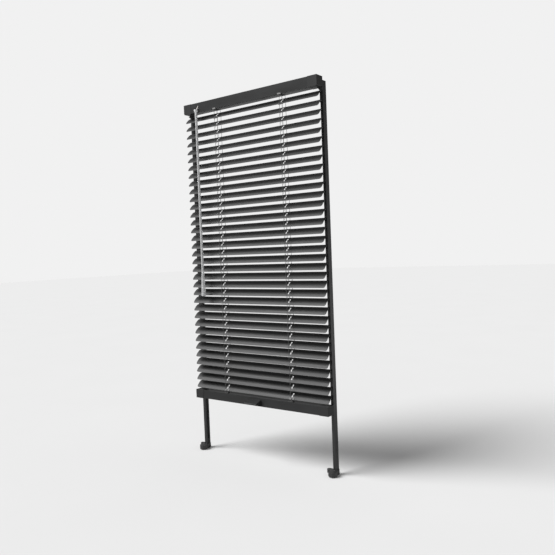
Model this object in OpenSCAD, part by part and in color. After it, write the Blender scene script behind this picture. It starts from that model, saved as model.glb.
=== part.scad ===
// Cordless aluminium venetian blind with side rails, for a window sash.
// X runs along the slats, +Y points to the glass and +Z up. The origin lies midway between the
// two feet, at the level of their undersides and on the plane of the side rails' backs.

/* [Blind] */
// Length of the headrail, the slats and the bottom rail
blind_width = 434; // [300:1:900]
// Headrail top above the undersides of the feet
blind_height = 960; // [960:1:2000]
// Tilt axis of the first slat below the headrail top
first_slat_drop = 39.7; // [38:0.1:60]

/* [Slats] */
// Slat width from edge to edge
slat_width = 25; // [16:1:35]
// Distance from one slat to the next with the blind let down
slat_pitch = 21.5; // [14:0.5:30]
// Sheet thickness
slat_thickness = 0.25; // [0.18:0.01:0.4]
// Height of the crown above the edges
slat_crown = 1.6; // [0.5:0.1:3]
// Tilt with the room edge down, in degrees
slat_tilt = 42; // [0:1:68]
// Rounding of the slat corners
slat_corner = 5; // [1:0.5:8]

/* [Ladders and cords] */
// Distance of each ladder from the middle of the blind
ladder_offset = 107; // [60:1:150]
// Distance of the front and rear strings from the slats' tilt axis
string_reach = 13.3; // [13.2:0.1:16]
// Ladder string diameter
string_d = 0.9; // [0.6:0.1:1.4]
// Lift cord diameter
cord_d = 1.4; // [1:0.1:2]

/* [Headrail] */
// Headrail depth
headrail_depth = 25; // [25:1:40]
// Headrail height
headrail_height = 25.5; // [25:0.5:40]
// Headrail wall
headrail_wall = 0.8; // [0.5:0.1:1.5]
// Length of an end cap along the headrail
cap_length = 26; // [10:1:40]

/* [Bottom rail] */
// Height of the bottom rail
bottom_rail_height = 22.5; // [12:0.5:30]
// Gap from the lowest slat's line to the bottom rail
bottom_gap = 15.6; // [14:0.1:25]
// Wall of the bottom rail
bottom_wall = 1.2; // [0.8:0.1:2]
// Length of the pull tab
tab_length = 41; // [30:1:80]
// How far the pull tab stands out from the rail
tab_reach = 21; // [12:1:30]
// Middle of the pull tab, from the middle of the blind
tab_middle = -7.5; // [-20:0.5:20]

/* [Side rails and feet] */
// Side rail size along X
rail_width = 7.5; // [6:0.5:15]
// Side rail size along Y
rail_depth = 15; // [12:0.5:25]
// Wall of the side rails
rail_wall = 1.2; // [0.8:0.1:2]
// Guide slot in the inner side of each rail
guide_slot = 4; // [3:0.5:6]
// Height of the feet
foot_height = 13; // [8:1:20]

/* [Tilt wand] */
// Wand distance from the left end of the blind
wand_inset = 51; // [30:1:100]
// Wand length from its joint to its lower end
wand_length = 502; // [300:1:900]
// Wand diameter
wand_d = 6.5; // [5:0.5:9]

/* [Show] */

/* [Hidden] */
$fn = 48;
slat_count = 35;
last_fixed_slat = 31;
joint_play = 0.05;
anthracite = [0.16, 0.16, 0.17];
black = [0.05, 0.05, 0.05];
slat_grey = [0.3, 0.3, 0.31];
light_grey = [0.75, 0.75, 0.75];
steel = [0.6, 0.6, 0.62];

half_width = blind_width / 2;
slat_y = -(rail_depth + 0.75 + slat_width / 2);
slat_radius = (pow(slat_width / 2, 2) + pow(slat_crown, 2)) / (2 * slat_crown);
first_slat_z = blind_height - first_slat_drop;
last_slat_z = first_slat_z - (slat_count - 1) * slat_pitch;

headrail_back = -rail_depth - 0.25;
headrail_front = headrail_back - headrail_depth;
headrail_mid = (headrail_back + headrail_front) / 2;
headrail_bottom = blind_height - headrail_height;
headrail_length = blind_width - 2 * cap_length + 20;

rod_z = blind_height - 9.5;
rod_size = 4.2;
rod_left = -half_width + 36;
rod_right = ladder_offset + 16;
drum_r = 7;

string_shift = 1.3;
bay_shift = slat_pitch / 2;
rung_d = 0.7;
rung_drop = slat_crown + slat_thickness / 2 + rung_d / 2 + 0.1;
rung_front = (string_reach + rung_drop * sin(slat_tilt)) / cos(slat_tilt);
rung_rear = (string_reach - rung_drop * sin(slat_tilt)) / cos(slat_tilt);
last_rung_front = 14.8;
ladders = [-ladder_offset, ladder_offset];

rail_top = headrail_bottom - 34;
bottom_top = last_slat_z - bottom_gap;
bottom_low = bottom_top - bottom_rail_height;
bottom_depth = headrail_depth - 0.5;
bottom_back = headrail_front + bottom_depth;
slot_y = -rail_depth / 2;
tab_wall = 1.8;

wand_x = -half_width + wand_inset;
wand_y = headrail_front - 7;
wand_z = headrail_bottom + 3.5;
ball_r = 3;
worm_lean = 36;
worm_dir = [0, sin(worm_lean), cos(worm_lean)];
gear_r = 5.95;

spool_r = 4.5;
spool_y = headrail_mid;
cord_run_z = headrail_bottom + 6;

function slat_z(n) = first_slat_z - (n - 1) * slat_pitch;

// ---------- shared shapes ----------

// Round bar from one point to another
module strand(from, to, d) {
    v = to - from;
    len = norm(v);
    translate(from)
        rotate([0, acos(v[2] / len), atan2(v[1], v[0])])
            cylinder(h = len, d = d);
}

module box(low, high) {
    translate(low)
        cube(high - low);
}

// Flat outline in Y and Z, drawn along X from one end to the other
module along_x(from, to) {
    translate([from, 0, 0])
        rotate([90, 0, 90])
            linear_extrude(to - from)
                children();
}

module mirrored_pair() {
    children();
    mirror([1, 0, 0])
        children();
}

// Section of a sheet curved to the slat's crown: middle of the sheet at the origin
module crown_section(thickness, from, to) {
    translate([0, -slat_radius])
        intersection() {
            difference() {
                circle(r = slat_radius + thickness / 2, $fn = 96);
                circle(r = slat_radius - thickness / 2, $fn = 96);
            }
            translate([from, 0])
                square([to - from, slat_radius * 2]);
        }
}

module slat_outline() {
    inner = slat_width / 2 - slat_corner;
    square([blind_width - 2 * slat_corner, slat_width], center = true);
    square([blind_width, 2 * inner], center = true);
    for (x = [-1, 1], y = [-1, 1])
        translate([x * (half_width - slat_corner), y * inner])
            circle(r = slat_corner);
}

// Oblong hole that the lift cord runs through
module rout_hole() {
    square([4, 8], center = true);
    for (y = [-4, 4])
        translate([0, y])
            circle(d = 4);
}

module place_at_slat(n) {
    translate([0, slat_y, slat_z(n)])
        rotate([slat_tilt, 0, 0])
            children();
}

module slat(n) {
    color(slat_grey)
        place_at_slat(n)
            difference() {
                intersection() {
                    along_x(-half_width - 1, half_width + 1)
                        crown_section(slat_thickness, -slat_width / 2 - 1, slat_width / 2 + 1);
                    translate([0, 0, -5])
                        linear_extrude(10)
                            slat_outline();
                }
                for (x = ladders)
                    translate([x, 0, -5])
                        linear_extrude(10)
                            rout_hole();
            }
}

// Fork that grips a slat's room edge on both sides of the ladder string
module slat_clip(n) {
    color(black)
        place_at_slat(n)
            for (x = ladders)
                translate([x + string_shift, 0, 0])
                    difference() {
                        along_x(-7.5, 7.5)
                            crown_section(1.5, -slat_width / 2 - 0.7, -6.5);
                        along_x(-8, 8)
                            crown_section(slat_thickness + 0.04, -slat_width / 2 - 0.05, 0);
                        box([-1.2, -20, -5], [1.2, -9, 5]);
                    }
}

// One ladder's front and rear strings between two heights
module strings_between(x, upper, lower) {
    for (side = [-1, 1])
        translate([x + string_shift, slat_y + side * string_reach, lower])
            cylinder(h = upper - lower, d = string_d, $fn = 24);
}

// Slanted end of both strings of one ladder, from their straight run to a drum or a plug
module string_ends(x, from_z, front_end, rear_end) {
    strand([x + string_shift, slat_y - string_reach, from_z],
           [x + string_shift, front_end[0], front_end[1]], string_d);
    strand([x + string_shift, slat_y + string_reach, from_z],
           [x + string_shift, rear_end[0], rear_end[1]], string_d);
}

// Rung under a slat, stitched to the strings' inner sides
module rung(x, z, front = rung_front) {
    short = (string_d / 2 + rung_d / 2 * sin(slat_tilt)) / cos(slat_tilt) + 0.02;
    translate([x + string_shift, slat_y, z])
        rotate([slat_tilt, 0, 0])
            strand([0, short - front, -rung_drop], [0, rung_rear - short, -rung_drop], rung_d);
}

module ladder_bay(n) {
    color(black)
        for (x = ladders) {
            strings_between(x, slat_z(n) + bay_shift, slat_z(n + 1) + bay_shift);
            rung(x, slat_z(n));
        }
}

// ---------- headrail and what it holds ----------

module headrail() {
    color(anthracite)
        difference() {
            along_x(-headrail_length / 2, headrail_length / 2)
                difference() {
                    translate([headrail_front, headrail_bottom])
                        square([headrail_depth, headrail_height]);
                    translate([headrail_front + headrail_wall, headrail_bottom + headrail_wall])
                        square([headrail_depth - 2 * headrail_wall, headrail_height - 2 * headrail_wall]);
                    translate([headrail_front + 3.5, headrail_bottom + 5])
                        square([headrail_depth - 7, headrail_height]);
                }
            for (x = ladders)
                box([x - 5.4, headrail_front + 2.5, headrail_bottom - 1],
                    [x + 5.4, headrail_back - 1.2, headrail_bottom + 2]);
            for (x = ladders)
                box([x - 5.4, headrail_front - 1, headrail_bottom - 1],
                    [x + 5.4, headrail_front + 3, headrail_bottom + 2.6]);
            strand([wand_x, wand_y, wand_z], [wand_x, wand_y, wand_z] + 20 * worm_dir, 5);
        }
}

module end_cap() {
    inner = half_width - cap_length;
    plug_low = rail_top - 14;
    color(anthracite)
        difference() {
            union() {
                along_x(inner, half_width)
                    difference() {
                        translate([headrail_front - 0.5, headrail_bottom - 0.5])
                            square([headrail_depth + 1, headrail_height + 1]);
                        translate([headrail_front - 0.01, headrail_bottom - 0.01])
                            square([headrail_depth + 0.02, headrail_height + 0.02]);
                    }
                box([half_width - 15.9, headrail_front - 0.5, headrail_bottom - 0.5],
                    [half_width, headrail_back + 0.5, blind_height + 0.5]);
                along_x(half_width - rail_width - 1, half_width)
                    polygon([
                        [slat_y + 2, headrail_bottom - 0.4],
                        [headrail_back, headrail_bottom - 6.5],
                        [headrail_back, rail_top],
                        [0, rail_top],
                        [0, blind_height - 8],
                        [headrail_back - 2, blind_height - 8],
                        [headrail_back - 2, headrail_bottom - 0.4]
                    ]);
                box([half_width - rail_width + rail_wall + 0.1, -rail_depth + rail_wall + 0.1, plug_low],
                    [half_width - rail_wall - 0.1, -rail_wall - 0.1, rail_top + 1]);
            }
            cap_corner_cut();
        }
}

// Rounds the cap's lower outer corner, seen from the front
module cap_corner_cut() {
    r = 5;
    translate([half_width - r, 0, headrail_bottom - 0.5 + r])
        rotate([90, 0, 0])
            translate([0, 0, -headrail_back + 2])
                linear_extrude(headrail_depth + 2)
                    difference() {
                        translate([0, -r - 1])
                            square([r + 1, r + 1]);
                        circle(r = r);
                    }
}

module end_caps() {
    mirrored_pair()
        end_cap();
}

module ladder_cradles() {
    low = headrail_bottom + headrail_wall + 0.05;
    color(light_grey)
        for (x = ladders) {
            difference() {
                union() {
                    box([x - 12, headrail_front + 1.2, low], [x + 14, headrail_back - 1, low + 1.6]);
                    box([x - 12, headrail_mid - 9, low], [x - 9.5, headrail_mid + 9, rod_z]);
                    box([x + 11.5, headrail_mid - 9, low], [x + 14, headrail_mid + 9, rod_z]);
                    box([x - 5, headrail_front - 0.8, headrail_bottom - 0.8],
                        [x + 5, headrail_front + 1.4, low + 1.6]);
                }
                box([x - 4, headrail_front + 2.2, low - 2], [x + 5, headrail_back - 1.3, low + 3]);
                translate([x - 15, headrail_mid, rod_z])
                    rotate([0, 90, 0])
                        cylinder(h = 32, d = 8.2);
                box([x - 15, slat_y - 6, cord_run_z - 1.3], [x + 16, slat_y + 8, cord_run_z + 1.3]);
            }
        }
}

module tilt_rod() {
    color(steel)
        translate([rod_left, headrail_mid, rod_z])
            rotate([0, 90, 0])
                linear_extrude(rod_right - rod_left)
                    square(rod_size, center = true);
}

module square_bore(length) {
    rotate([0, 90, 0])
        linear_extrude(length, center = true)
            square(rod_size + 0.04, center = true);
}

// Drums that the ladder strings hang from, each with a hub in its cradle
module ladder_drums() {
    color(light_grey)
        for (x = ladders)
            translate([x + 1, headrail_mid, rod_z])
                difference() {
                    union() {
                        rotate([0, 90, 0])
                            cylinder(h = 14, r = drum_r, center = true);
                        for (side = [-1, 1])
                            translate([side * 8.2, 0, 0])
                                rotate([0, 90, 0])
                                    cylinder(h = 2.4, r = drum_r + 1, center = true);
                        rotate([0, 90, 0])
                            cylinder(h = 27, d = 8, center = true);
                    }
                    square_bore(40);
                }
}

module tilter_housing() {
    low = headrail_bottom + headrail_wall + 0.05;
    color(light_grey)
        difference() {
            box([wand_x - 10, headrail_front + 1.1, low],
                [wand_x + 10, headrail_back - 1.1, blind_height - 1]);
            translate([wand_x - 4, headrail_mid, rod_z])
                rotate([0, 90, 0])
                    cylinder(h = 8, r = gear_r + 0.5);
            translate([wand_x - 12, headrail_mid, rod_z])
                rotate([0, 90, 0])
                    cylinder(h = 24, d = 7);
            strand([wand_x, wand_y, wand_z] + 8 * worm_dir, [wand_x, wand_y, wand_z] + 34 * worm_dir, 5.2);
        }
}

module tilter_gear() {
    teeth = 14;
    color(light_grey)
        translate([wand_x, headrail_mid, rod_z])
            difference() {
                rotate([0, 90, 0])
                    cylinder(h = 6.5, r = gear_r, center = true);
                for (k = [0 : teeth - 1])
                    rotate([(k + 0.5) * 360 / teeth, 0, 0])
                        translate([0, 0, gear_r + 0.25])
                            rotate([0, 90, 0])
                                cylinder(h = 8, d = 1.5, center = true, $fn = 24);
                square_bore(10);
            }
}

// Screw shaft of the tilter: thread in the housing, ball in front of the headrail
module tilter_worm() {
    color(light_grey)
        translate([wand_x, wand_y, wand_z])
            rotate([-worm_lean, 0, 0]) {
                sphere(r = ball_r);
                cylinder(h = 15, d = 2.4);
                difference() {
                    translate([0, 0, 14.5])
                        cylinder(h = 10.5, r = 2.3);
                    for (k = [0 : 3])
                        translate([0, 0, 16 + k * 2.3])
                            rotate_extrude()
                                translate([2.6, 0])
                                    circle(r = 0.8, $fn = 24);
                }
            }
}

// Socket that hangs on the tilter's ball and carries the wand
module wand_hook() {
    cup_r = 5.4;
    color(light_grey)
        translate([wand_x, wand_y, wand_z])
            difference() {
                union() {
                    sphere(r = cup_r);
                    translate([0, 0, -9])
                        cylinder(h = 9, d = wand_d);
                    translate([0, 0, -19])
                        cylinder(h = 11, d = 2.8);
                }
                sphere(r = ball_r + joint_play);
                box([-1.8, -1.8, 0], [1.8, 7, 7]);
                box([-7, -7, 2.1], [7, 7, 7]);
            }
}

module tilt_wand() {
    top = wand_z - 9.2;
    grip = 70;
    color(light_grey)
        difference() {
            translate([wand_x, wand_y, 0]) {
                translate([0, 0, wand_z - wand_length + grip])
                    cylinder(h = top - (wand_z - wand_length + grip), d = wand_d);
                translate([0, 0, wand_z - wand_length])
                    cylinder(h = grip, d1 = 12, d2 = wand_d);
            }
            translate([wand_x, wand_y, top - 11])
                cylinder(h = 12, d = 2.8 + 2 * joint_play);
        }
}

module spring_motor() {
    low = headrail_bottom + headrail_wall + 0.05;
    color(light_grey) {
        difference() {
            box([-34, headrail_front + 1.2, low], [34, headrail_back - 1.2, rod_z - 3.2]);
            translate([0, spool_y, low + 1.6])
                cylinder(h = 7, r = spool_r + 3);
            for (side = [-1, 1])
                translate([side * 21, spool_y, low + 1.6])
                    cylinder(h = 7, r = 9);
            box([-40, slat_y - 6, cord_run_z - 1.3], [40, slat_y + 8, cord_run_z + 1.3]);
        }
        translate([0, spool_y, low + 1])
            cylinder(h = 8, d = 2.9);
    }
}

// Spool that the lift cords wind on, with a groove for both cords
module cord_spool() {
    low = headrail_bottom + headrail_wall + 1.9;
    color(light_grey)
        translate([0, spool_y, low])
            difference() {
                cylinder(h = 6.2, r = spool_r + 2.6);
                translate([0, 0, 3.1])
                    rotate_extrude()
                        translate([spool_r - cord_d / 2 - 0.1, -1.4])
                            square([6, 2.8]);
                translate([0, 0, -1])
                    cylinder(h = 9, d = 3);
            }
}

// ---------- ladders and cords ----------

// Strings from the cradle's slot up to the sides of the drum
module string_ends_in_headrail(x) {
    gap = drum_r + string_d / 2 + 0.1;
    strand([x + string_shift, headrail_front + 3.6, headrail_bottom + 2],
           [x + string_shift, headrail_mid - gap, rod_z], string_d);
    strand([x + string_shift, headrail_back - 2, headrail_bottom + 2],
           [x + string_shift, headrail_mid + gap, rod_z], string_d);
}

// Ladder strings from the drums down to the last slat that never leaves its place
module ladder_strings() {
    color(black)
        for (x = ladders) {
            strings_between(x, first_slat_z + 4, slat_z(last_fixed_slat + 1) + bay_shift);
            string_ends(x, first_slat_z + 4,
                        [headrail_front + 3.6, headrail_bottom + 2], [headrail_back - 2, headrail_bottom + 2]);
            string_ends_in_headrail(x);
            for (n = [1 : last_fixed_slat])
                rung(x, slat_z(n));
        }
}

module ladder_bay_32() {
    ladder_bay(32);
}

module ladder_bay_33() {
    ladder_bay(33);
}

// Lowest stretch: the last two rungs and the string ends that reach the bottom rail
module ladder_bay_34() {
    color(black)
        for (x = ladders) {
            strings_between(x, slat_z(34) + bay_shift, last_slat_z - 3);
            rung(x, slat_z(34));
            rung(x, slat_z(35), last_rung_front);
            string_ends(x, last_slat_z - 3,
                        [headrail_front + 3, bottom_top + 2.8], [bottom_back - 1, bottom_top + 0.3]);
        }
}

module lift_cord(side) {
    x = side * ladder_offset;
    turn = [x, slat_y, cord_run_z];
    strand([x, slat_y, bottom_top + 0.05], turn, cord_d);
    translate(turn)
        sphere(d = cord_d);
    strand(turn, [side * 1.5, spool_y + side * (spool_r + 0.15), cord_run_z], cord_d);
}

module lift_cords() {
    color(black)
        for (side = [-1, 1])
            lift_cord(side);
}

// ---------- bottom rail ----------

module bottom_rail() {
    inner = half_width - cap_length + 14;
    color(anthracite)
        difference() {
            along_x(-inner, inner)
                difference() {
                    translate([headrail_front, bottom_low])
                        square([bottom_depth, bottom_rail_height]);
                    translate([headrail_front + bottom_wall, bottom_low + bottom_wall])
                        square([bottom_depth - 2 * bottom_wall, bottom_rail_height - 2 * bottom_wall]);
                }
            box([tab_middle - 6, headrail_front - 1, bottom_top - 1.6],
                [tab_middle + 6, headrail_front + 0.6, bottom_top + 1]);
            for (x = ladders)
                box([x - 5, headrail_front + 3, bottom_top - bottom_wall - 1],
                    [x + 5, headrail_front + 6, bottom_top + 1]);
        }
}

// Cap with the arm and pin that run in the side rail's slot
module bottom_rail_cap() {
    inner = half_width - cap_length;
    pin_z = bottom_low + bottom_rail_height / 2;
    arm_x = half_width - rail_width - 0.8;
    color(anthracite)
        union() {
            along_x(inner, half_width)
                difference() {
                    translate([headrail_front - 0.5, bottom_low - 0.5])
                        square([bottom_depth + 1, bottom_rail_height + 1]);
                    translate([headrail_front - 0.01, bottom_low - 0.01])
                        square([bottom_depth + 0.02, bottom_rail_height + 0.02]);
                }
            box([half_width - 11.9, headrail_front - 0.5, bottom_low - 0.5],
                [half_width, bottom_back + 0.5, bottom_top + 0.5]);
            box([arm_x - 4, bottom_back, pin_z - 5], [arm_x, -3, pin_z + 5]);
            translate([arm_x - 1, slot_y, pin_z])
                rotate([0, 90, 0])
                    cylinder(h = 5.5, d = guide_slot - 0.4);
        }
}

module bottom_rail_caps() {
    mirrored_pair()
        bottom_rail_cap();
}

// Plugs that hold the ladder ends in the bottom rail
module ladder_plugs() {
    color(black)
        for (x = ladders) {
            box([x - 6.5, headrail_front + 0.2, bottom_top + 0.02],
                [x + 6.5, headrail_front + 8, bottom_top + 2.4]);
            box([x - 4.9, headrail_front + 3.1, bottom_top - 6],
                [x + 4.9, headrail_front + 5.9, bottom_top + 1]);
        }
}

// Sloping grip on the bottom rail's front: a shelf with a back plate and an end plate each side
module pull_tab() {
    face = headrail_front - 0.02;
    top = bottom_low + 17.8;
    lip = face - tab_reach;
    lip_z = top - 7.5;
    color(anthracite)
        difference() {
            along_x(tab_middle - tab_length / 2, tab_middle + tab_length / 2)
                polygon([
                    [face, top],
                    [lip + 1, lip_z + 0.3],
                    [lip, lip_z - 0.8],
                    [lip + 0.3, lip_z - 2.6],
                    [lip + 1.6, lip_z - 3.4],
                    [face, bottom_low + 1]
                ]);
            along_x(tab_middle - tab_length / 2 + tab_wall, tab_middle + tab_length / 2 - tab_wall)
                polygon([
                    [face - tab_wall, top - tab_wall - 1],
                    [lip + tab_wall, lip_z - tab_wall - 0.4],
                    [lip + tab_wall, bottom_low - 5],
                    [face - tab_wall, bottom_low - 5]
                ]);
            for (side = [-1, 1])
                translate([tab_middle + side * tab_length / 2, lip, bottom_low])
                    rotate([0, 0, 45])
                        cube([2.4, 2.4, 60], center = true);
        }
}

// ---------- side rails and feet ----------

module side_rails() {
    color(black)
        mirrored_pair()
            translate([0, 0, foot_height])
                linear_extrude(rail_top - foot_height)
                    difference() {
                        translate([half_width - rail_width, -rail_depth])
                            square([rail_width, rail_depth]);
                        translate([half_width - rail_width + rail_wall, -rail_depth + rail_wall])
                            square([rail_width - 2 * rail_wall, rail_depth - 2 * rail_wall]);
                        translate([half_width - rail_width - 1, slot_y - guide_slot / 2])
                            square([rail_width / 2, guide_slot]);
                    }
}

// Foot under one rail: a plug, a lobe over the glazing bead and a tongue along it
module rail_foot(mid) {
    lobe_y = -rail_depth - 9;
    translate([mid, 0, 0]) {
        box([-rail_width / 2 - 1.2, -rail_depth - 0.8, 0], [rail_width / 2 + 1.2, 0, foot_height]);
        translate([0, lobe_y, 2])
            rotate([0, 0, 22.5])
                cylinder(h = foot_height - 3, r = 11.5, $fn = 8);
        box([-7, lobe_y, 2], [7, -rail_depth, foot_height - 1]);
        box([-20, -12.5, 2], [0, -1, foot_height - 2]);
        translate([-20, -6.75, 2])
            cylinder(h = foot_height - 4, d = 11.5);
        box([-rail_width / 2 + rail_wall + 0.1, -rail_depth + rail_wall + 0.1, foot_height - 1],
            [rail_width / 2 - rail_wall - 0.1, -rail_wall - 0.1, foot_height + 12]);
    }
}

module rail_feet() {
    color(black)
        for (side = [-1, 1])
            rail_foot(side * (half_width - rail_width / 2));
}

// ---------- clips on the first and the last slat ----------

module first_slat_clips() {
    slat_clip(1);
}

module last_slat_clips() {
    slat_clip(slat_count);
}

// ---------- slats ----------

module slat_01() {
    slat(1);
}

module slat_02() {
    slat(2);
}

module slat_03() {
    slat(3);
}

module slat_04() {
    slat(4);
}

module slat_05() {
    slat(5);
}

module slat_06() {
    slat(6);
}

module slat_07() {
    slat(7);
}

module slat_08() {
    slat(8);
}

module slat_09() {
    slat(9);
}

module slat_10() {
    slat(10);
}

module slat_11() {
    slat(11);
}

module slat_12() {
    slat(12);
}

module slat_13() {
    slat(13);
}

module slat_14() {
    slat(14);
}

module slat_15() {
    slat(15);
}

module slat_16() {
    slat(16);
}

module slat_17() {
    slat(17);
}

module slat_18() {
    slat(18);
}

module slat_19() {
    slat(19);
}

module slat_20() {
    slat(20);
}

module slat_21() {
    slat(21);
}

module slat_22() {
    slat(22);
}

module slat_23() {
    slat(23);
}

module slat_24() {
    slat(24);
}

module slat_25() {
    slat(25);
}

module slat_26() {
    slat(26);
}

module slat_27() {
    slat(27);
}

module slat_28() {
    slat(28);
}

module slat_29() {
    slat(29);
}

module slat_30() {
    slat(30);
}

module slat_31() {
    slat(31);
}

module slat_32() {
    slat(32);
}

module slat_33() {
    slat(33);
}

module slat_34() {
    slat(34);
}

module slat_35() {
    slat(35);
}

headrail();
end_caps();
side_rails();
rail_feet();
ladder_cradles();
tilter_housing();
spring_motor();
ladder_strings();
lift_cords();
tilt_rod();
ladder_drums();
tilter_gear();
tilter_worm();
wand_hook();
tilt_wand();
first_slat_clips();
last_slat_clips();
bottom_rail();
bottom_rail_caps();
pull_tab();
ladder_plugs();
cord_spool();
ladder_bay_32();
ladder_bay_33();
ladder_bay_34();
slat_01();
slat_02();
slat_03();
slat_04();
slat_05();
slat_06();
slat_07();
slat_08();
slat_09();
slat_10();
slat_11();
slat_12();
slat_13();
slat_14();
slat_15();
slat_16();
slat_17();
slat_18();
slat_19();
slat_20();
slat_21();
slat_22();
slat_23();
slat_24();
slat_25();
slat_26();
slat_27();
slat_28();
slat_29();
slat_30();
slat_31();
slat_32();
slat_33();
slat_34();
slat_35();
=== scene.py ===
"""Looks of a cordless aluminium venetian blind with side rails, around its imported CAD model.

X runs along the slats, +Y points to the glass and +Z up. Lengths are in metres.
"""

import math

import bpy
from mathutils import Matrix, Vector


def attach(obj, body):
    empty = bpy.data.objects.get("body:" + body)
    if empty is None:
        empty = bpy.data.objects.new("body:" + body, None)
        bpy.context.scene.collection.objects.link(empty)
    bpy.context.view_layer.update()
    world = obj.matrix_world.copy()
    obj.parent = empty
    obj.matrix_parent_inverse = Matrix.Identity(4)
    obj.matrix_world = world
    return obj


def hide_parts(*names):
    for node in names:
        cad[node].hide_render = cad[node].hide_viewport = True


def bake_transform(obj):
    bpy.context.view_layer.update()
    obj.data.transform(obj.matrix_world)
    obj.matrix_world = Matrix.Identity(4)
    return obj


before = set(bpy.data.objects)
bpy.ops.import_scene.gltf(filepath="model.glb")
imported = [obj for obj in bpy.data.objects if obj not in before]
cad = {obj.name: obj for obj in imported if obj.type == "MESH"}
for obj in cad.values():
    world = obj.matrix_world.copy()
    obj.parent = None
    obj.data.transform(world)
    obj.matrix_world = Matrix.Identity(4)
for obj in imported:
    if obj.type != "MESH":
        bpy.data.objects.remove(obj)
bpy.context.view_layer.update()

# ---------- sizes repeated from the CAD model ----------

# The slats' tilt axes lie at SLAT_Y. The slats below LAST_FIXED_SLAT rise with the bottom rail.
SLAT_COUNT = 35
LAST_FIXED_SLAT = 31
SLAT_TILT = math.radians(42)
SLAT_PITCH = 0.0215
SLAT_Y = -0.02825
FIRST_SLAT_Z = 0.9203

# Each ladder's strings hang STRING_SHIFT beside its lift cord and STRING_REACH before and behind
# the tilt axes. A rung lies below the tilt axis by RUNG_DROP_AT_CROWN in the middle of its slat,
# and by RUNG_DROP at RUNG_HALF from it and beyond. The last rung ends at LAST_RUNG_FRONT, since
# its front string leans in to the bottom rail there.
LADDER_XS = (-0.107, 0.107)
STRING_SHIFT = 0.0013
STRING_REACH = 0.0133
STRING_RADIUS = 0.00045
RUNG_RADIUS = 0.00035
RUNG_SIDES = 8
RUNG_HALF = 0.0124
RUNG_DROP = 0.002175
RUNG_DROP_AT_CROWN = 0.00055
LAST_RUNG_FRONT = 0.0148
LIFT_CORD_RADIUS = 0.0007
CORD_UV = "CordLength"

# The strings touch their drums at DRUM_SIDE from the rod's middle. The lift cords run level at
# CORD_RUN_Z inside the headrail, from the spool to a bend above the slats, and hang straight from
# CORD_STRAIGHT below that.
HEADRAIL_MID_Y = -0.02775
ROD_Z = 0.9505
DRUM_SIDE = 0.00755
CORD_RUN_Z = 0.9405
CORD_BEND = 0.0012
CORD_STRAIGHT = 0.004
CORD_END_GAP = 0.00005
SPOOL_RADIUS = 0.00465
SPOOL_SHIFT = 0.0015
BOTTOM_RAIL_TOP = 0.1737
SIDE_RAIL_X = 0.21325

# The wand hangs by a bore in its top. Its grip widens over WAND_GRIP, as the power GRIP_FLARE of
# the way down, to a rounded lower end.
WAND_X = -0.166
WAND_Y = -0.04725
WAND_TOP = 0.9288
WAND_END = 0.436
WAND_RADIUS = 0.00325
WAND_GRIP = 0.070
WAND_GRIP_RADIUS = 0.006
WAND_BORE_RADIUS = 0.00145
WAND_BORE_DEPTH = 0.011
WAND_CHAMFER = 0.0003
GRIP_ROUNDING = 0.0025
GRIP_STEPS = 12
GRIP_FLARE = 0.8


def slat_z(number):
    return FIRST_SLAT_Z - (number - 1) * SLAT_PITCH


# ---------- shader building ----------

UNSTRETCHED = (1, 1, 1)


def add(tree, kind, inputs=None, **settings):
    """New shader node. inputs holds numbers, or the sockets that feed them, by name or place."""
    made = tree.nodes.new("ShaderNode" + kind)
    for name, value in settings.items():
        setattr(made, name, value)
    for key, value in (inputs or {}).items():
        if isinstance(value, bpy.types.NodeSocket):
            tree.links.new(value, made.inputs[key])
        else:
            made.inputs[key].default_value = value
    return made


def new_material(name):
    """An empty node material: (material, tree, its Principled shader)."""
    material = bpy.data.materials.new(name)
    material.use_nodes = True
    tree = material.node_tree
    return material, tree, tree.nodes["Principled BSDF"]


def stretched(tree, stretch):
    """The piece's own coordinates, multiplied by stretch along X, Y and Z."""
    own = add(tree, "TexCoord").outputs["Object"]
    return add(tree, "Mapping", {"Vector": own, "Scale": stretch}).outputs["Vector"]


def noise(tree, vector, scale, detail=3.0):
    made = add(tree, "TexNoise", {"Vector": vector, "Scale": scale, "Detail": detail})
    return made.outputs["Fac"]


def remap(tree, value, low, high, start=0.3, end=0.7):
    """value from start to end, turned into a number from low to high."""
    inputs = {"Value": value, "From Min": start, "From Max": end, "To Min": low, "To Max": high}
    return add(tree, "MapRange", inputs).outputs["Result"]


def mix(tree, factor, first, second):
    """Colour that goes from first to second; either is a colour or a socket."""
    return add(tree, "Mix", {0: factor, 6: first, 7: second}, data_type="RGBA").outputs[2]


def math_node(tree, operation, first, second=0.0):
    return add(tree, "Math", {0: first, 1: second}, operation=operation).outputs[0]


def grey(value, warmth=0.0):
    """A grey, a little warmer where warmth is above 0 and cooler below."""
    return (value * (1 + warmth), value, value * (1 - warmth), 1.0)


def rounded_edges(tree, radius):
    """(normal with rounded edges, factor that is 1 on sharp edges and 0 on flat faces)."""
    bevel = add(tree, "Bevel", {"Radius": radius}, samples=6).outputs["Normal"]
    face = add(tree, "NewGeometry").outputs["Normal"]
    same = add(tree, "VectorMath", {0: bevel, 1: face}, operation="DOT_PRODUCT").outputs["Value"]
    return bevel, remap(tree, same, 1.0, 0.0, 0.72, 0.98)


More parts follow.
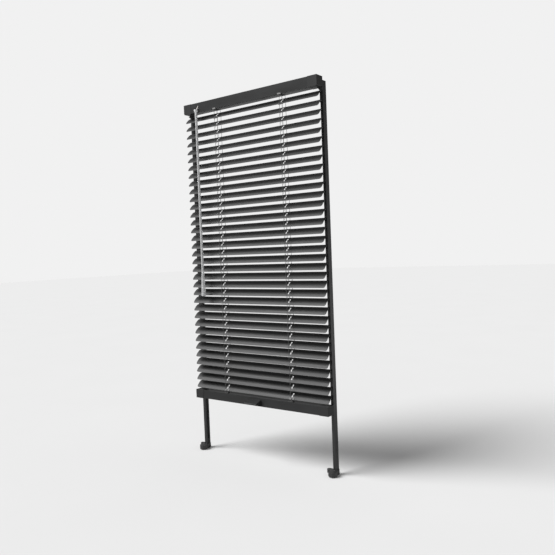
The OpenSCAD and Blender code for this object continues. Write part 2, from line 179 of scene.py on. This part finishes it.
def coated(
    name, dark, light, roughness, grain, depth, edge, stretch=UNSTRETCHED, radius=0.0003, **sockets
):
    """Paint or moulded plastic: clouded colour, fine grain in bump and gloss, and lighter edges,
    partly wear and partly a painted highlight.

    grain is the size of the grain in metres, depth its height, edge the colour of the edges and
    radius their rounding. sockets are other values of the shader, with _ for a space.
    """
    material, tree, shader = new_material(name)
    place = stretched(tree, stretch)
    clouds = noise(tree, place, scale=28, detail=5)
    fine = noise(tree, place, scale=1 / grain, detail=2)
    normal, sharp = rounded_edges(tree, radius)
    body = mix(tree, remap(tree, clouds, 0, 1), dark, light)
    speckled = mix(tree, remap(tree, fine, 0, 0.18), body, light)
    # Sharp edges go towards the edge colour: partly wear, partly a painted highlight line.
    worn_and_highlit_edges = math_node(tree, "MULTIPLY", sharp, remap(tree, clouds, 0.35, 0.9))
    coloured = mix(tree, worn_and_highlit_edges, speckled, edge)
    bump = add(tree, "Bump", {"Height": fine, "Distance": depth, "Normal": normal})
    gloss = remap(tree, clouds, roughness - 0.05, roughness + 0.06)
    tree.links.new(coloured, shader.inputs["Base Color"])
    tree.links.new(gloss, shader.inputs["Roughness"])
    tree.links.new(bump.outputs["Normal"], shader.inputs["Normal"])
    for socket, value in sockets.items():
        shader.inputs[socket.replace("_", " ")].default_value = value
    return material


def slat_enamel():
    """Satin coil enamel on thin aluminium: faint lengthwise streaks, specks, and rims lightened as
    bare cut metal and as a painted highlight.
    """
    material, tree, shader = new_material("slat_enamel")
    streaks = noise(tree, stretched(tree, (6, 420, 420)), scale=1, detail=4)
    specks = noise(tree, stretched(tree, UNSTRETCHED), scale=2600, detail=1)
    waves = noise(tree, stretched(tree, (9, 60, 60)), scale=1, detail=2)
    paint = mix(tree, remap(tree, streaks, 0, 1), grey(0.018, 0.01), grey(0.025, -0.01))
    flaked = mix(tree, remap(tree, specks, 0, 0.35, start=0.5, end=0.75), paint, grey(0.055, -0.02))
    own_normal = add(tree, "TexCoord").outputs["Normal"]
    sheet = (0.0, -math.sin(SLAT_TILT), math.cos(SLAT_TILT))
    facing = add(tree, "VectorMath", {0: own_normal, 1: sheet}, operation="DOT_PRODUCT")
    flat = math_node(tree, "ABSOLUTE", facing.outputs["Value"])
    # The sheet's rims are mixed to light grey: bare cut metal, and partly a painted highlight.
    rim_bare_and_highlit = remap(tree, flat, 1, 0, start=0.35, end=0.8)
    coloured = mix(tree, rim_bare_and_highlit, flaked, grey(0.3))
    bump = add(tree, "Bump", {"Height": waves, "Distance": 0.00035})
    peel = add(tree, "Bump", {"Height": specks, "Distance": 0.000006, "Normal": bump.outputs[0]})
    tree.links.new(coloured, shader.inputs["Base Color"])
    tree.links.new(remap(tree, streaks, 0.36, 0.46), shader.inputs["Roughness"])
    tree.links.new(peel.outputs["Normal"], shader.inputs["Normal"])
    shader.inputs["Specular IOR Level"].default_value = 0.22
    return material


def grooved_aluminium():
    """Black anodised profile: fine lines along its length, one groove down its front, and edges
    painted lighter, partly wear and partly a painted highlight.
    """
    material, tree, shader = new_material("rail_anodised")
    lines = noise(tree, stretched(tree, (1500, 1500, 5)), scale=1, detail=3)
    clouds = noise(tree, stretched(tree, UNSTRETCHED), scale=22, detail=4)
    normal, sharp = rounded_edges(tree, 0.0004)
    own = add(tree, "TexCoord").outputs["Object"]
    across = add(tree, "SeparateXYZ", {"Vector": own}).outputs["X"]
    from_groove = math_node(tree, "SUBTRACT", math_node(tree, "ABSOLUTE", across), SIDE_RAIL_X)
    distance = math_node(tree, "ABSOLUTE", from_groove)
    outside = remap(tree, distance, 0, 1, start=0.0002, end=0.0006)
    body = mix(tree, remap(tree, clouds, 0, 1), grey(0.010), grey(0.019, -0.03))
    streaked = mix(tree, remap(tree, lines, 0, 0.4), body, grey(0.035))
    # Sharp edges are mixed towards light grey: partly wear, partly a painted highlight line.
    coloured = mix(tree, math_node(tree, "MULTIPLY", sharp, 0.6), streaked, grey(0.14))
    scratched = add(tree, "Bump", {"Height": lines, "Distance": 0.00001, "Normal": normal})
    scratches = scratched.outputs["Normal"]
    groove = add(tree, "Bump", {"Height": outside, "Distance": 0.0004, "Normal": scratches})
    tree.links.new(coloured, shader.inputs["Base Color"])
    tree.links.new(remap(tree, lines, 0.28, 0.42), shader.inputs["Roughness"])
    tree.links.new(groove.outputs["Normal"], shader.inputs["Normal"])
    shader.inputs["Metallic"].default_value = 0.3
    return material


def drawn_steel():
    """Bright zinc-plated bar with drawing lines along X."""
    material, tree, shader = new_material("rod_zinc")
    lines = noise(tree, stretched(tree, (8, 1800, 1800)), scale=1, detail=3)
    spangle = noise(tree, stretched(tree, UNSTRETCHED), scale=160, detail=2)
    coloured = mix(tree, remap(tree, spangle, 0, 1), grey(0.48, 0.01), grey(0.68, -0.02))
    bump = add(tree, "Bump", {"Height": lines, "Distance": 0.00002})
    tree.links.new(coloured, shader.inputs["Base Color"])
    tree.links.new(remap(tree, lines, 0.22, 0.4), shader.inputs["Roughness"])
    tree.links.new(bump.outputs["Normal"], shader.inputs["Normal"])
    shader.inputs["Metallic"].default_value = 1.0
    return material


def clear_plastic(name, clearness):
    """Clear plastic, faintly clouded, with flow lines along its length. Clearness 1 is glass."""
    material, tree, shader = new_material(name)
    clouds = noise(tree, stretched(tree, (1, 1, 0.3)), scale=130, detail=3)
    lines = noise(tree, stretched(tree, (700, 700, 12)), scale=1, detail=2)
    coloured = mix(tree, remap(tree, clouds, 0, 1), grey(0.74, -0.01), grey(0.86))
    bump = add(tree, "Bump", {"Height": lines, "Distance": 0.000015})
    tree.links.new(coloured, shader.inputs["Base Color"])
    tree.links.new(remap(tree, clouds, 0.14, 0.28), shader.inputs["Roughness"])
    tree.links.new(bump.outputs["Normal"], shader.inputs["Normal"])
    shader.inputs["Transmission Weight"].default_value = clearness
    shader.inputs["IOR"].default_value = 1.49
    return material


def braided(name, dark, light, pitch, around):
    """Woven cord: two crossing families of yarns, with around yarns each and one turn per pitch."""
    material, tree, shader = new_material(name)
    position = add(tree, "UVMap", uv_map=CORD_UV).outputs["UV"]
    split = add(tree, "SeparateXYZ", {"Vector": position})
    turn = math_node(tree, "MULTIPLY", split.outputs["X"], 2 * math.pi * around)
    along = math_node(tree, "MULTIPLY", split.outputs["Y"], 2 * math.pi * around / pitch)
    right = math_node(tree, "SINE", math_node(tree, "ADD", turn, along))
    left = math_node(tree, "SINE", math_node(tree, "SUBTRACT", along, turn))
    yarns = math_node(tree, "MAXIMUM", right, left)
    fluff = noise(tree, stretched(tree, UNSTRETCHED), scale=4000, detail=2)
    # Yarn crests are coloured light and the creases between them dark: painted shade.
    coloured = mix(tree, remap(tree, yarns, 0, 1, start=-0.2, end=1), dark, light)
    fuzzed = mix(tree, remap(tree, fluff, 0, 0.4), coloured, light)
    bump = add(tree, "Bump", {"Height": yarns, "Distance": 0.00008})
    tree.links.new(fuzzed, shader.inputs["Base Color"])
    tree.links.new(remap(tree, fluff, 0.7, 0.9), shader.inputs["Roughness"])
    tree.links.new(bump.outputs["Normal"], shader.inputs["Normal"])
    shader.inputs["Sheen Weight"].default_value = 0.3
    return material


FINISHES = {
    "rail_finish": coated(
        "rail_enamel", dark=grey(0.018), light=grey(0.025, -0.02), roughness=0.42, grain=0.0009,
        depth=0.00003, edge=grey(0.045), stretch=(0.4, 1, 1), Specular_IOR_Level=0.18,
    ),
    "slat_finish": slat_enamel(),
    "black_aluminium": grooved_aluminium(),
    "dark_plastic": coated(
        "cap_plastic", dark=grey(0.018), light=grey(0.025, -0.01), roughness=0.5, grain=0.0006,
        depth=0.00005, edge=grey(0.045), radius=0.0005, Specular_IOR_Level=0.2,
    ),
    "black_plastic": coated(
        "foot_plastic", dark=grey(0.012), light=grey(0.020), roughness=0.42, grain=0.0007,
        depth=0.00005, edge=grey(0.07), radius=0.0005,
    ),
    "pale_plastic": coated(
        "nylon", dark=grey(0.56, 0.03), light=grey(0.70, 0.04), roughness=0.42, grain=0.0008,
        depth=0.00003, edge=grey(0.8, 0.03),
    ),
    "clear_plastic": clear_plastic("wand_clear", clearness=0.55),
    "steel": drawn_steel(),
    "cord": braided("cord_braid", dark=grey(0.012), light=grey(0.07), pitch=0.0032, around=3),
}

for piece in cad.values():
    slot_name = piece.data.materials[0].name
    piece.data.materials[0] = FINISHES[slot_name]
cad["wand_hook"].data.materials[0] = clear_plastic("hook_milky", clearness=0.25)
cad["ladder_cradles"].data.materials[0] = coated(
    "cradle_nylon", dark=grey(0.16, 0.01), light=grey(0.22, 0.02), roughness=0.45, grain=0.0008,
    depth=0.00003, edge=grey(0.3),
)


# ---------- mesh building ----------


def finished_mesh(name, vertices, faces, slot_name):
    mesh = bpy.data.meshes.new(name)
    mesh.from_pydata(vertices, [], faces)
    mesh.shade_smooth()
    piece = bpy.data.objects.new(name, mesh)
    bpy.context.scene.collection.objects.link(piece)
    piece.data.materials.append(FINISHES[slot_name])
    return piece


def tubes(name, paths, radius, sides=10):
    """Round cords along the paths, as one mesh whose UV map holds the turn and the length."""
    vertices, faces, uvs = [], [], []
    for path in paths:
        points = [Vector(p) for p in path]
        first = len(vertices)
        side = Vector((1.0, 0.0, 0.0))
        run = 0.0
        lengths = []
        for k, point in enumerate(points):
            before = points[max(k - 1, 0)]
            after = points[min(k + 1, len(points) - 1)]
            ahead = (after - before).normalized()
            if abs(ahead.dot(side)) > 0.9:
                side = Vector((0.0, 1.0, 0.0))
            side = (side - ahead * side.dot(ahead)).normalized()
            up = ahead.cross(side)
            run += (point - before).length
            lengths.append(run)
            for j in range(sides):
                angle = 2 * math.pi * j / sides
                vertices.append(point + (side * math.cos(angle) + up * math.sin(angle)) * radius)
        for k in range(len(points) - 1):
            for j in range(sides):
                near, far = first + k * sides, first + (k + 1) * sides
                turn = (j + 1) % sides
                faces.append((near + j, near + turn, far + turn, far + j))
                uvs += [(j / sides, lengths[k]), ((j + 1) / sides, lengths[k]),
                        ((j + 1) / sides, lengths[k + 1]), (j / sides, lengths[k + 1])]
        last = first + (len(points) - 1) * sides
        faces.append(tuple(first + j for j in reversed(range(sides))))
        faces.append(tuple(last + j for j in range(sides)))
        uvs += [(j / sides, 0.0) for j in reversed(range(sides))]
        uvs += [(j / sides, run) for j in range(sides)]
    piece = finished_mesh(name, vertices, faces, "cord")
    layer = piece.data.uv_layers.new(name=CORD_UV)
    layer.data.foreach_set("uv", [number for uv in uvs for number in uv])
    piece.data.set_sharp_from_angle(angle=math.radians(60))
    return piece


def lathe(name, centre, profile, slot_name, sides=40):
    """Round solid about a vertical axis, from (radius, z) pairs that start and end on the axis."""
    vertices, faces = [], []
    rings = profile[1:-1]
    for radius, z in rings:
        for j in range(sides):
            angle = 2 * math.pi * j / sides
            x = centre[0] + radius * math.cos(angle)
            y = centre[1] + radius * math.sin(angle)
            vertices.append((x, y, z))
    for k in range(len(rings) - 1):
        for j in range(sides):
            near, far = k * sides, (k + 1) * sides
            turn = (j + 1) % sides
            faces.append((near + j, near + turn, far + turn, far + j))
    for ring, pole_z in ((0, profile[0][1]), (len(rings) - 1, profile[-1][1])):
        vertices.append((centre[0], centre[1], pole_z))
        pole = len(vertices) - 1
        for j in range(sides):
            edge = (ring * sides + j, ring * sides + (j + 1) % sides)
            faces.append((pole, *(edge if ring else reversed(edge))))
    piece = finished_mesh(name, vertices, faces, slot_name)
    piece.data.flip_normals()
    piece.data.set_sharp_from_angle(angle=math.radians(40))
    return piece


def spaced(start, end, steps):
    """Points from start to end, both included."""
    a, b = Vector(start), Vector(end)
    return [a.lerp(b, k / steps) for k in range(steps + 1)]


# ---------- ladders ----------

SPLIT_Z = slat_z(LAST_FIXED_SLAT) - SLAT_PITCH / 2
STRING_TOP_Z = 0.9243
STRING_LOW_Z = 0.1863
FRONT_Y = SLAT_Y - STRING_REACH
REAR_Y = SLAT_Y + STRING_REACH
# Where each string leaves the headrail, touches its drum and enters the bottom rail, as (y, z)
STRING_TURNS = {
    FRONT_Y: ((-0.03665, 0.9365), (HEADRAIL_MID_Y - DRUM_SIDE, ROD_Z), (-0.03725, 0.1765)),
    REAR_Y: ((-0.01725, 0.9365), (HEADRAIL_MID_Y + DRUM_SIDE, ROD_Z), (-0.01675, 0.1740)),
}


def string_paths():
    """(paths that never move, paths of the stretch that shortens as the bottom rail rises)"""
    still, moving = [], []
    for ladder_x in LADDER_XS:
        x = ladder_x + STRING_SHIFT
        for y, (exit_point, drum_point, plug_point) in STRING_TURNS.items():
            upper_run = spaced((x, y, STRING_TOP_Z), (x, y, SPLIT_Z), steps=30)
            lower_run = spaced((x, y, SPLIT_Z), (x, y, STRING_LOW_Z), steps=16)
            still.append([(x, *drum_point), (x, *exit_point), *upper_run])
            moving.append([*lower_run, (x, *plug_point)])
    return still, moving


def along_slat(number, x, distance, drop=RUNG_DROP):
    """Point at that distance from the tilt axis along slat number, drop below its sheet."""
    up = Vector((0.0, -math.sin(SLAT_TILT), math.cos(SLAT_TILT)))
    along = Vector((0.0, math.cos(SLAT_TILT), math.sin(SLAT_TILT)))
    return Vector((x, SLAT_Y, slat_z(number))) + along * distance - up * drop


def rung_path(number, x, steps=10):
    """The stretch of a rung that lies against the hollow underside of its slat."""
    points = []
    for k in range(steps + 1):
        share = 2 * k / steps - 1
        drop = RUNG_DROP_AT_CROWN + (RUNG_DROP - RUNG_DROP_AT_CROWN) * share * share
        points.append(along_slat(number, x, share * RUNG_HALF, drop))
    return points


def rung_reach(side):
    """Distance along a slat at which its rung meets the front string (-1) or the rear one (1)."""
    return side * (STRING_REACH - side * RUNG_DROP * math.sin(SLAT_TILT)) / math.cos(SLAT_TILT)


def make_strings():
    still, moving = string_paths()
    upper = tubes("ladder_strings_upper", still, STRING_RADIUS)
    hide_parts("ladder_strings")
    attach(upper, "frame")
    lower = tubes("ladder_strings_lower", moving, STRING_RADIUS)
    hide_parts("ladder_bay_32", "ladder_bay_33", "ladder_bay_34")
    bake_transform(lower)


def make_rungs(number):
    """The rungs under a slat, which turn with it, and the ties from their ends to the strings."""
    slat = f"slat_{number:02d}"
    xs = [x + STRING_SHIFT for x in LADDER_XS]
    rung = tubes(f"rung_{number:02d}", [rung_path(number, x) for x in xs], RUNG_RADIUS, RUNG_SIDES)
    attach(rung, slat)
    for end, side in (("front", -1), ("rear", 1)):
        inner_reach = side * RUNG_HALF
        outer_reach = rung_reach(side)
        if side == -1 and number == SLAT_COUNT:
            outer_reach = -LAST_RUNG_FRONT
        ties = [
            spaced(along_slat(number, x, outer_reach), along_slat(number, x, inner_reach), steps=4)
            for x in xs
        ]
        tie = tubes(f"rung_{end}_tie_{number:02d}", ties, RUNG_RADIUS, RUNG_SIDES)
        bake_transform(tie)


make_strings()
for slat_number in range(1, SLAT_COUNT + 1):
    make_rungs(slat_number)


# ---------- lift cords ----------


def make_lift_cords():
    """Two cords, from the spool over a bend in the headrail and down through the slats."""
    still, moving = [], []
    for side in (-1, 1):
        x = side * abs(LADDER_XS[0])
        spool_point = (side * SPOOL_SHIFT, HEADRAIL_MID_Y + side * SPOOL_RADIUS, CORD_RUN_Z)
        bend = [
            (x - side * CORD_BEND, SLAT_Y, CORD_RUN_Z),
            (x - side * CORD_BEND / 4, SLAT_Y, CORD_RUN_Z - CORD_BEND / 4),
            (x, SLAT_Y, CORD_RUN_Z - CORD_BEND),
        ]
        top = (x, SLAT_Y, CORD_RUN_Z - CORD_STRAIGHT)
        middle = (x, SLAT_Y, SPLIT_Z)
        end = (x, SLAT_Y, BOTTOM_RAIL_TOP + CORD_END_GAP)
        still.append([spool_point, *bend, *spaced(top, middle, steps=24)])
        moving.append(spaced(middle, end, steps=18))
    upper = tubes("lift_cords_upper", still, LIFT_CORD_RADIUS)
    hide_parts("lift_cords")
    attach(upper, "frame")
    lower = tubes("lift_cords_lower", moving, LIFT_CORD_RADIUS)
    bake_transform(lower)


make_lift_cords()


# ---------- tilt wand ----------


def wand_profile():
    """(radius, z) pairs from the bore's floor, over the top and down to the grip's end."""
    grip_top = WAND_END + WAND_GRIP
    bore_floor = WAND_TOP - WAND_BORE_DEPTH
    profile = [
        (0.0, bore_floor),
        (WAND_BORE_RADIUS, bore_floor),
        (WAND_BORE_RADIUS, WAND_TOP),
        (WAND_RADIUS - WAND_CHAMFER, WAND_TOP),
        (WAND_RADIUS, WAND_TOP - WAND_CHAMFER),
    ]
    for k in range(GRIP_STEPS + 1):
        share = k / GRIP_STEPS
        radius = WAND_RADIUS + (WAND_GRIP_RADIUS - WAND_RADIUS) * share ** GRIP_FLARE
        profile.append((radius, grip_top - share * (WAND_GRIP - GRIP_ROUNDING)))
    for degrees in (30, 60, 90):
        fall = math.radians(degrees)
        radius = WAND_GRIP_RADIUS - GRIP_ROUNDING * (1 - math.cos(fall))
        profile.append((radius, WAND_END + GRIP_ROUNDING * (1 - math.sin(fall))))
    profile.append((0.0, WAND_END))
    return profile


wand = lathe("wand_rod", (WAND_X, WAND_Y), wand_profile(), "clear_plastic")
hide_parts("tilt_wand")
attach(wand, "tilt_wand")


# ---------- floor, light and camera ----------

FLOOR_SIZE = 30.0
FLOOR_DROP = 0.0004
FLOOR_GREYS = (0.68, 0.70)
BACKDROP = 0.88
FILL = 0.34
SUN_STRENGTH = 4.0
SUN_FROM = Vector((-0.50, -0.52, 0.70)).normalized()
SUN_SPREAD = math.radians(38)
CAMERA_AT = Vector((0.9986, -1.2754, 0.5484))
CAMERA_YAW = math.radians(36.598)
CAMERA_PITCH = math.radians(2.346)
CAMERA_ROLL = math.radians(2.202)
CAMERA_LENS = 40.0


def make_floor():
    half = FLOOR_SIZE / 2
    mesh = bpy.data.meshes.new("floor")
    corners = [(-half, -half), (half, -half), (half, half), (-half, half)]
    mesh.from_pydata([(x, y, -FLOOR_DROP) for x, y in corners], [], [(0, 1, 2, 3)])
    floor = bpy.data.objects.new("floor", mesh)
    bpy.context.scene.collection.objects.link(floor)
    material, tree, shader = new_material("floor_paper")
    clouds = noise(tree, stretched(tree, UNSTRETCHED), scale=3, detail=3)
    coloured = mix(tree, clouds, grey(FLOOR_GREYS[0]), grey(FLOOR_GREYS[1]))
    tree.links.new(coloured, shader.inputs["Base Color"])
    shader.inputs["Roughness"].default_value = 1.0
    shader.inputs["Specular IOR Level"].default_value = 0.0
    mesh.materials.append(material)


def make_light():
    sun = bpy.data.lights.new("softbox", "SUN")
    sun.energy = SUN_STRENGTH
    sun.angle = SUN_SPREAD
    lamp = bpy.data.objects.new("softbox", sun)
    bpy.context.scene.collection.objects.link(lamp)
    lamp.rotation_euler = SUN_FROM.to_track_quat("Z", "Y").to_euler()
    world = bpy.data.worlds.new("studio")
    world.use_nodes = True
    tree = world.node_tree
    seen = add(tree, "LightPath").outputs["Is Camera Ray"]
    strength = add(tree, "MapRange", {"Value": seen, "To Min": FILL, "To Max": BACKDROP})
    shade = tree.nodes["Background"]
    shade.inputs["Color"].default_value = (1.0, 1.0, 1.0, 1.0)
    tree.links.new(strength.outputs["Result"], shade.inputs["Strength"])
    bpy.context.scene.world = world


def make_camera():
    ahead = Vector((-math.sin(CAMERA_YAW), math.cos(CAMERA_YAW), 0.0))
    level_right = Vector((math.cos(CAMERA_YAW), math.sin(CAMERA_YAW), 0.0))
    straight_down = Vector((0.0, 0.0, -1.0))
    forward = ahead * math.cos(CAMERA_PITCH) + straight_down * math.sin(CAMERA_PITCH)
    level_down = straight_down * math.cos(CAMERA_PITCH) - ahead * math.sin(CAMERA_PITCH)
    right = level_right * math.cos(CAMERA_ROLL) + level_down * math.sin(CAMERA_ROLL)
    down = level_down * math.cos(CAMERA_ROLL) - level_right * math.sin(CAMERA_ROLL)
    lens = bpy.data.cameras.new("camera")
    lens.lens = CAMERA_LENS
    lens.clip_start = 0.05
    camera = bpy.data.objects.new("camera", lens)
    bpy.context.scene.collection.objects.link(camera)
    turned = Matrix((right, -down, -forward)).transposed()
    camera.matrix_world = Matrix.Translation(CAMERA_AT) @ turned.to_4x4()
    bpy.context.scene.camera = camera


make_floor()
make_light()
make_camera()
bpy.context.scene.view_settings.view_transform = "Standard"
